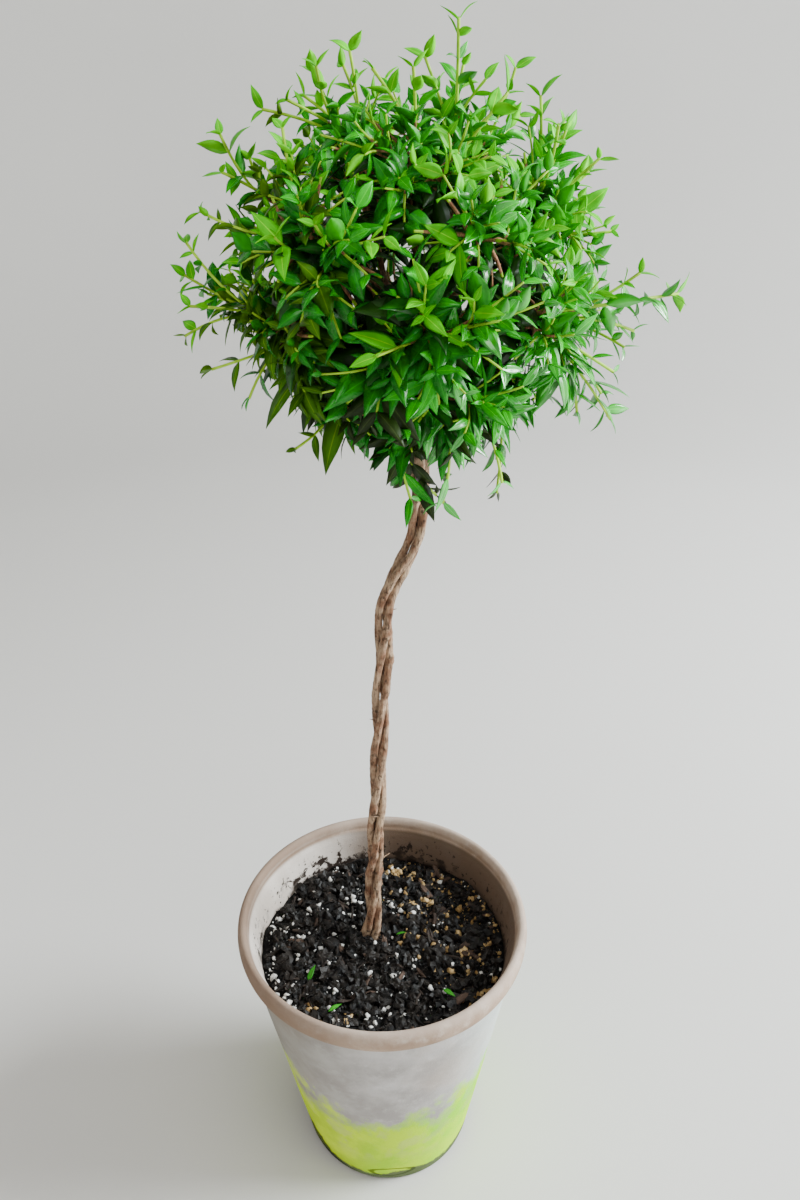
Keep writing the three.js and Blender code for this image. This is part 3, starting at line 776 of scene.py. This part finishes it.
def pot_profile():
    """Radius and height from the middle of the underside, up the outside, over the collar and down inside."""
    half = (POT["rim_radius"] - POT["mouth_radius"]) / 2
    foot_radius = POT["foot_radius"]
    foot = [(0, 0.0), (30, 0.0), (foot_radius - 2.2, 0.0), (foot_radius - 1.0, 0.35),
            (foot_radius - 0.2, 1.2), (foot_radius + 0.2, 2.4)]
    body = [(foot_radius + POT_SLOPE * z, z) for z in np.linspace(4, 149.5, 60)]
    neck = [(75.2, 150.8), (75.6, 151.8), (76.6, 152.5), (77.9, 153.1)]
    collar = []
    for turn in np.linspace(math.radians(-62), math.pi, 28):
        bulge = abs(math.cos(turn)) ** 0.8 * math.copysign(1, math.cos(turn))
        collar.append((POT["mouth_radius"] + half * (1 + bulge),
                       POT["height"] - POT["collar"] / 2 * (1 - math.sin(turn))))
    inside = [(inner_radius(z) + 1.2 * max(0.0, (z - 150) / 9), z) for z in np.linspace(156, 132, 14)]
    bottom = [(inner_radius(100), 100.0), (inner_radius(POT["floor"]), POT["floor"]), (0, POT["floor"])]
    return foot + body + neck + collar + inside + bottom


def make_pot():
    profile, sides = pot_profile(), 160
    points = []
    for r, z in profile:
        for j in range(sides):
            turn = TURN * j / sides
            place = Vector((math.cos(turn) * 2.2, math.sin(turn) * 2.2, z * 0.03))
            # The foot's edge and the top of the rim are true, and what is between them a little uneven.
            uneven = r + (0.35 * noise.noise(place) if 2 < z < 160 and r > 40 else 0)
            points.append((uneven * math.cos(turn), uneven * math.sin(turn), z))
    pot = new_object("clay_pot", points, band(len(profile), sides), [pot_material()])
    edit = bmesh.new()
    edit.from_mesh(pot.data)
    bmesh.ops.remove_doubles(edit, verts=edit.verts, dist=1e-6)
    bmesh.ops.dissolve_degenerate(edit, edges=edit.edges, dist=1e-7)
    edit.to_mesh(pot.data)
    edit.free()
    return pot


def soil_height(x, y):
    """The soil's own surface, in millimetres: lumpy, a little higher towards the back."""
    place = Vector((x * 0.03, y * 0.03, 0.4))
    fine = Vector((x * 0.16, y * 0.16, 2.4))
    return SOIL_LEVEL - 0.9 + 4.0 * noise.noise(place) + 3.0 * noise.noise(fine) + 0.012 * y


def make_soil(material):
    """The bed under the crumbs: its surface, its side along the pot and its underside."""
    rings, sides = 44, 150
    edge = inner_radius(SOIL_LEVEL) - CLEAR
    points = [(0, 0, soil_height(0, 0))]
    for i in range(1, rings + 1):
        for j in range(sides):
            r, turn = edge * i / rings, TURN * j / sides
            x, y = r * math.cos(turn), r * math.sin(turn)
            points.append((x, y, soil_height(x, y)))
    for r in (edge, 0.5):
        for j in range(sides):
            turn = TURN * j / sides
            points.append((r * math.cos(turn), r * math.sin(turn), SOIL_LEVEL - SOIL_DEPTH))
    faces = [[0, 1 + j, 1 + (j + 1) % sides] for j in range(sides)]
    faces += band(rings + 2, sides, first=1, flipped=True)
    last = 1 + (rings + 1) * sides
    faces.append(list(range(last, last + sides)))
    return new_object("soil_bed", points, faces, [material])


def pebbles(subdivisions, count, rough=0.75, jagged=0.0):
    """Rough lumps about 1 mm in radius."""
    made = []
    for k in range(count):
        edit = bmesh.new()
        bmesh.ops.create_icosphere(edit, subdivisions=subdivisions, radius=1.0)
        points = np.array([v.co[:] for v in edit.verts])
        faces = [[v.index for v in f.verts] for f in edit.faces]
        edit.free()
        shift = Vector((k * 7.3, 1.7 * k, 0))
        grow = np.array([1 + rough * noise.noise(Vector(p * 1.5) + shift)
                         + jagged * noise.noise(Vector(p * 3.7) + shift) for p in points])
        made.append((points * grow[:, None], faces))
    return made


def scatter(name, shapes, count, sizes, squash, material, rise=0.3, clear_root=7.0, share=None, smooth=False,
            slim=0.75, specks=None, lean=0.5):
    """Lumps strewn over the soil and partly sunk in it, at each place as thickly as its share says. Specks
    are plainer shapes for the smallest ones."""
    heap = Heap()
    edge = inner_radius(SOIL_LEVEL) - 1.5
    for k in range(count):
        r, turn = edge * math.sqrt(random.random()), TURN * random.random()
        x, y = r * math.cos(turn), r * math.sin(turn)
        size = lerp(sizes[0], sizes[1], random.random() ** 2.5)
        if share is not None and random.random() > share(x, y):
            continue
        if math.hypot(x - STEMS["root"][0], y - STEMS["root"][1]) < clear_root:
            continue
        if math.hypot(x, y) + size > edge + 1.0:
            continue
        choice = specks if specks and size < 0.75 else shapes
        points, faces = choice[k % len(choice)]
        stretched = points * np.array([1, slim * lerp(0.8, 1.2, random.random()), squash]) * size
        turns = random.random(2) * math.pi * np.array([lean, 2])
        turned = stretched @ np.array(Matrix.Rotation(turns[0], 3, "X") @ Matrix.Rotation(turns[1], 3, "Z")).T
        heap.add(turned + np.array([x, y, soil_height(x, y) + size * rise]), faces)
    return heap.make(name, material, smooth)


def white_share(x, y):
    """White grains are fewer on the right."""
    return 0.3 + 0.45 * (x < 14)


def beige_share(x, y):
    """Beige grains lie at the back on the right, and in a patch at the front on the left."""
    return max(smoothstep(x + 0.5 * y, 6, 44), 0.5 * (math.hypot(x + 30, y + 46) < 12))


def fallen_leaves(materials):
    pile = LeafPile(FULL_LEAF)
    for x, y, turn, length, slope in ((-41, -27, 72, 11, 0.3), (8, 3, 15, 7, 0.1), (31, -34, -40, 8, 0.1),
                                      (-30, -47, 35, 9, 0.08), (36, -38, 200, 7, 0.0)):
        axis = aim(math.radians(turn), slope)
        pile.add(root=np.array([x, y, soil_height(x, y) + 3.6]), axis=axis, face=UP + 0.3 * level(turn),
                 length=length, width=length * 0.36, curl=0.5, fold=0.4, twist=0.3)
    return pile.make("fallen_leaves", materials)


def bark_limb(path, radius_at, sides, step, seed, knots=(), depth=0.16):
    """A limb with relief: long ridges, cross wrinkles and knots."""
    count = max(8, int(path.length / step))
    shares = np.linspace(0, 1, count)
    points = path.at(shares)
    turns = np.linspace(0, TURN, sides, endpoint=False)
    base = np.array([radius_at(p) for p in points])
    radii = np.zeros((count, sides))
    for i, share in enumerate(shares):
        run = share * path.length
        for j, turn in enumerate(turns):
            c, s = math.cos(turn), math.sin(turn)
            ridge = noise.noise(Vector((c * 2.6, s * 2.6, run * 0.1 + seed)))
            wrinkle = noise.noise(Vector((c * 3.6 + 9, s * 3.6, run * 0.5 + seed)))
            lump = noise.noise(Vector((c * 0.9, s * 0.9 + 4, run * 0.05 + seed)))
            relief = depth * (1.4 * ridge + 0.75 * wrinkle) + 0.22 * lump
            for at, side, size in knots:
                away = (run - at) ** 2 / 7.0 + (1 - math.cos(turn - side)) * 3.5
                relief += size * math.exp(-away) * (1 - 0.5 * math.exp(-away * 9))
            radii[i, j] = base[i] * (1 + relief)
    return tube(points, radii, sides)


def make_stems(stems, masses, bark):
    heap = Heap()
    for stem, path in enumerate(stems):
        part = path.stretch(0, masses[stem]["cut"], 420)
        # Small scars follow each other up the stem between the knots.
        scars = [(11 + 17.3 * k + 9 * chance(k, 60 + stem), 6.3 * chance(k, 70 + stem),
                  0.2 + 0.25 * chance(k, 80 + stem)) for k in range(16)]
        heap.add(*bark_limb(part, lambda p: stem_radius(p[2]) * 0.98, 24, 0.6, 31.7 * stem,
                            KNOTS[stem] + scars))
        for at, turn, length in SPURS[stem]:
            foot, out = part.at(at / part.length), aim_degrees(turn, 22)
            heap.add(*tube(foot + np.outer(np.linspace(0, 1, 6), out * length), np.linspace(0.7, 0.15, 6), 6))
    return heap.make("twisted_stems", bark)


def tapering(part, start, end):
    """The radius at a point of a limb, from its start to its end."""
    return lambda p: lerp(start, end, min(1, np.linalg.norm(p - part.points[0]) / part.length))


def make_boughs(masses, bark):
    """The boughs, and the stems inside the masses that go on from them."""
    boughs, inner = Heap(), Heap()
    for k, mass in enumerate(masses):
        if mass["bough"]:
            part = mass["path"].stretch(0, mass["cut"], 60)
            radius = tapering(part, BOUGH["base_radius"], BOUGH["cut_radius"])
            boughs.add(*bark_limb(part, radius, 12, 0.9, 5.3 * k, depth=0.12))
        part = mass["path"].stretch(mass["cut"] - 0.004, 1, 40)
        radius = tapering(part, mass["cut_radius"], BOUGH["hub_radius"] * 0.8)
        inner.add(*bark_limb(part, radius, 10, 1.2, 3.1 * k, depth=0.1))
    return boughs.make("boughs", bark), inner.make("inner_branches", bark)


def make_twigs(shoots, woody, green):
    """Each shoot is brown wood at its foot and green towards its tip."""
    brown, fresh = Heap(), Heap()
    for shoot in shoots:
        kind, long = shoot["kind"], shoot["long"]
        # The share of its length where it turns from brown to green.
        turn = 0.35 + 0.2 * chance(shoot["number"], 30) - (0.15 if long else 0)
        if kind in ("inside", "bare"):
            turn = 0.9
        tip_radius = TWIG_TIPS["long" if long else "bare" if kind == "bare" else "other"]
        for heap, a, b, count in ((brown, 0, turn, 6), (fresh, turn - 0.01, 1, 8)):
            shares = np.linspace(a, b, count)
            heap.add(*tube(shoot["path"].at(shares), lerp(shoot["radius"], tip_radius, shares), 5))
    return brown.make("woody_twigs", woody), fresh.make("green_twigs", green)


def make_camera():
    camera = bpy.data.objects.new("camera", bpy.data.cameras.new("camera"))
    bpy.context.scene.collection.objects.link(camera)
    camera.data.sensor_width = CAMERA["sensor"]
    camera.data.lens = CAMERA["lens"]
    camera.data.shift_x = CAMERA["shift"]
    camera.data.clip_start = 0.01
    turned = (Matrix.Rotation(math.radians(90 - CAMERA["pitch"]), 4, "X")
              @ Matrix.Rotation(math.radians(CAMERA["roll"]), 4, "Z"))
    camera.matrix_world = Matrix.Translation(Vector(CAMERA["place"]) * MM) @ turned
    bpy.context.scene.camera = camera


def make_floor():
    """A pale round floor that curves up into a backdrop far away on all sides."""
    profile = [(600, 0), (1400, 0)]
    profile += [(1400 + 1600 * math.sin(a), 1600 * (1 - math.cos(a))) for a in np.linspace(0.06, 1.5, 24)]
    profile.append((3000, 3600))
    sides = 96
    points = [(r * math.cos(TURN * j / sides), r * math.sin(TURN * j / sides), z)
              for r, z in profile for j in range(sides)]
    faces = [list(range(sides))] + band(len(profile), sides, flipped=True)
    shader = Shader("pale_floor", 0.2)
    pale = shader.finish(shader.mix(shader.noise(900, 2), "#d6d3cf", "#e0ddd9"), 0.85)
    floor = new_object("floor", points, faces, [pale])


def add_light(name, place, target, size, power, colour):
    """A disk that faces the target, or a ball where there is none. Places and sizes are in metres."""
    data = bpy.data.lights.new(name, "AREA" if target else "POINT")
    if target:
        data.shape = "DISK"
        data.size = size
    else:
        data.shadow_soft_size = size / 2
    data.energy = power
    data.color = colour
    light = bpy.data.objects.new(name, data)
    bpy.context.scene.collection.objects.link(light)
    light.location = place
    if target:
        light.rotation_euler = (Vector(target) - Vector(place)).to_track_quat("-Z", "Y").to_euler()


def make_light():
    add_light("window", (1.5, 0.0, 1.15), None, 0.8, 285, (0.9, 0.97, 1.0))
    add_light("room", (-1.4, -1.1, 1.2), (0.0, 0.0, 0.3), 1.6, 2, (1.0, 0.88, 0.7))
    add_light("top", (0.2, -0.4, 1.9), (0.0, 0.0, 0.4), 1.0, 13, (1.0, 1.0, 0.98))
    world = bpy.data.worlds.new("studio")
    world.use_nodes = True
    background = world.node_tree.nodes["Background"].inputs
    background["Color"].default_value = (0.86, 0.88, 0.9, 1)
    background["Strength"].default_value = 0.09
    bpy.context.scene.world = world


def dress(piece, slot, *nodes):
    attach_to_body(piece, "root")
    if nodes:
        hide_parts(*nodes)


make_camera()
make_floor()
make_light()

stem_nodes, bough_nodes, foliage_nodes = (
    [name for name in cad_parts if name.startswith(start)] for start in ("stem_", "bough_", "foliage_"))

dress(make_pot(), "clay", "pot")

earth, crumb, fibre, chips, white, beige = (
    grain_material(name, dark, light, rough, size, bump) for name, dark, light, rough, size, bump in (
        ("dark_soil", "#030202", "#0c0a08", 0.85, 1.8, 0.8),
        ("soil_crumbs", "#040303", "#1d1814", 0.5, 1.2, 0.6),
        ("soil_fibres", "#0d0a08", "#3a2f28", 0.7, 1.2, 0.5),
        ("bark_chips", "#2a1e17", "#57453a", 0.8, 2.5, 0.4),
        ("white_perlite", "#c9c6bf", "#f0eeea", 0.8, 0.8, 0.25),
        ("beige_perlite", "#86683c", "#c3a574", 0.85, 0.9, 0.25)))
dress(make_soil(earth), "soil", "soil")
lumps, beads, specks = pebbles(2, 12), pebbles(2, 5), pebbles(1, 4)
clods = pebbles(2, 16, 0.9, 0.6)
dress(scatter("soil_crumbs", clods, 1900, (0.8, 4.6), 0.75, crumb, clear_root=5.0), "soil")
dress(scatter("soil_fibres", lumps, 360, (1.6, 4.8), 0.16, fibre, rise=0.6, clear_root=5.0, slim=0.18,
              lean=0.16), "soil")
dress(scatter("bark_chips", lumps, 70, (2.2, 5.2), 0.25, chips, rise=0.55, slim=0.35, lean=0.2), "soil")
dress(scatter("white_perlite", beads, 1500, (0.35, 1.8), 0.9, white, rise=0.9, share=white_share, smooth=True,
              specks=specks), "soil")
dress(scatter("beige_perlite", beads, 2300, (0.4, 2.0), 0.9, beige, rise=0.9, share=beige_share, smooth=True,
              specks=specks), "soil")

bark = bark_material("stem_bark", "#2e1d13", "#866048", "#bfa286")
young_bark = bark_material("branch_bark", "#2c1a10", "#6f4a30", "#94704e", 0.6)
stems = [stem_path(k) for k in range(STEMS["count"])]
masses = make_masses(stems)
dress(make_stems(stems, masses, bark), "bark", *stem_nodes)
boughs, inner = make_boughs(masses, young_bark)
dress(boughs, "bark", *bough_nodes)
dress(inner, "bark", *foliage_nodes)

shoots = grow_shoots(masses)
shoots += grow_finer(shoots)
woody = bark_material("twig_bark", "#5c3420", "#a46a4c", "#bc8c68", 0.4)
green = leaf_material("twig_green", "#a4d230", 0.5, 0.2)
brown_twigs, green_twigs = make_twigs(shoots, woody, green)
dress(brown_twigs, "bark", *foliage_nodes)
dress(green_twigs, "leaf", *foliage_nodes)

# Each kind of leaf: its shape, the greens of its face, rib and underside, its roughness and its gloss.
# Painted light: sunny and bright. Painted shade: shade, and in part deep and inside. Olive is partly painted
# warm light.
KINDS = dict(
    deep=(MEDIUM_LEAF, "#0c4a02", "#186004", "#1c5c0a", 0.3, 0.2),
    mid=(MEDIUM_LEAF, "#0a7a00", "#189a04", "#1e9004", 0.28, 0.3),
    olive=(MEDIUM_LEAF, "#3a6a00", "#628c04", "#4e7a02", 0.36, 0.12),
    shade=(MEDIUM_LEAF, "#20300c", "#3a4a1c", "#344020", 0.36, 0.16),
    bright=(FULL_LEAF, "#129400", "#34b404", "#2ca204", 0.26, 0.3),
    sunny=(FULL_LEAF, "#18a008", "#3cc414", "#28a608", 0.2, 1.0),
    young=(FULL_LEAF, "#4cbc00", "#86dc04", "#64c802", 0.34, 0.12),
    inside=(PLAIN_LEAF, "#1c3c0c", "#284a16", "#26461a", 0.36, 0.16),
)
piles = {kind: LeafPile(shape) for kind, (shape, *_) in KINDS.items()}
grow_leaves(shoots, piles)
for kind, (_, *look) in KINDS.items():
    dress(piles[kind].make(f"leaves_{kind}", leaf_set(kind, *look)), "leaf", *foliage_nodes)
dress(fallen_leaves(leaf_set("fallen", "#2a8a14", "#6aa83a", "#5c9a2c", 0.45, 0.2)), "leaf")
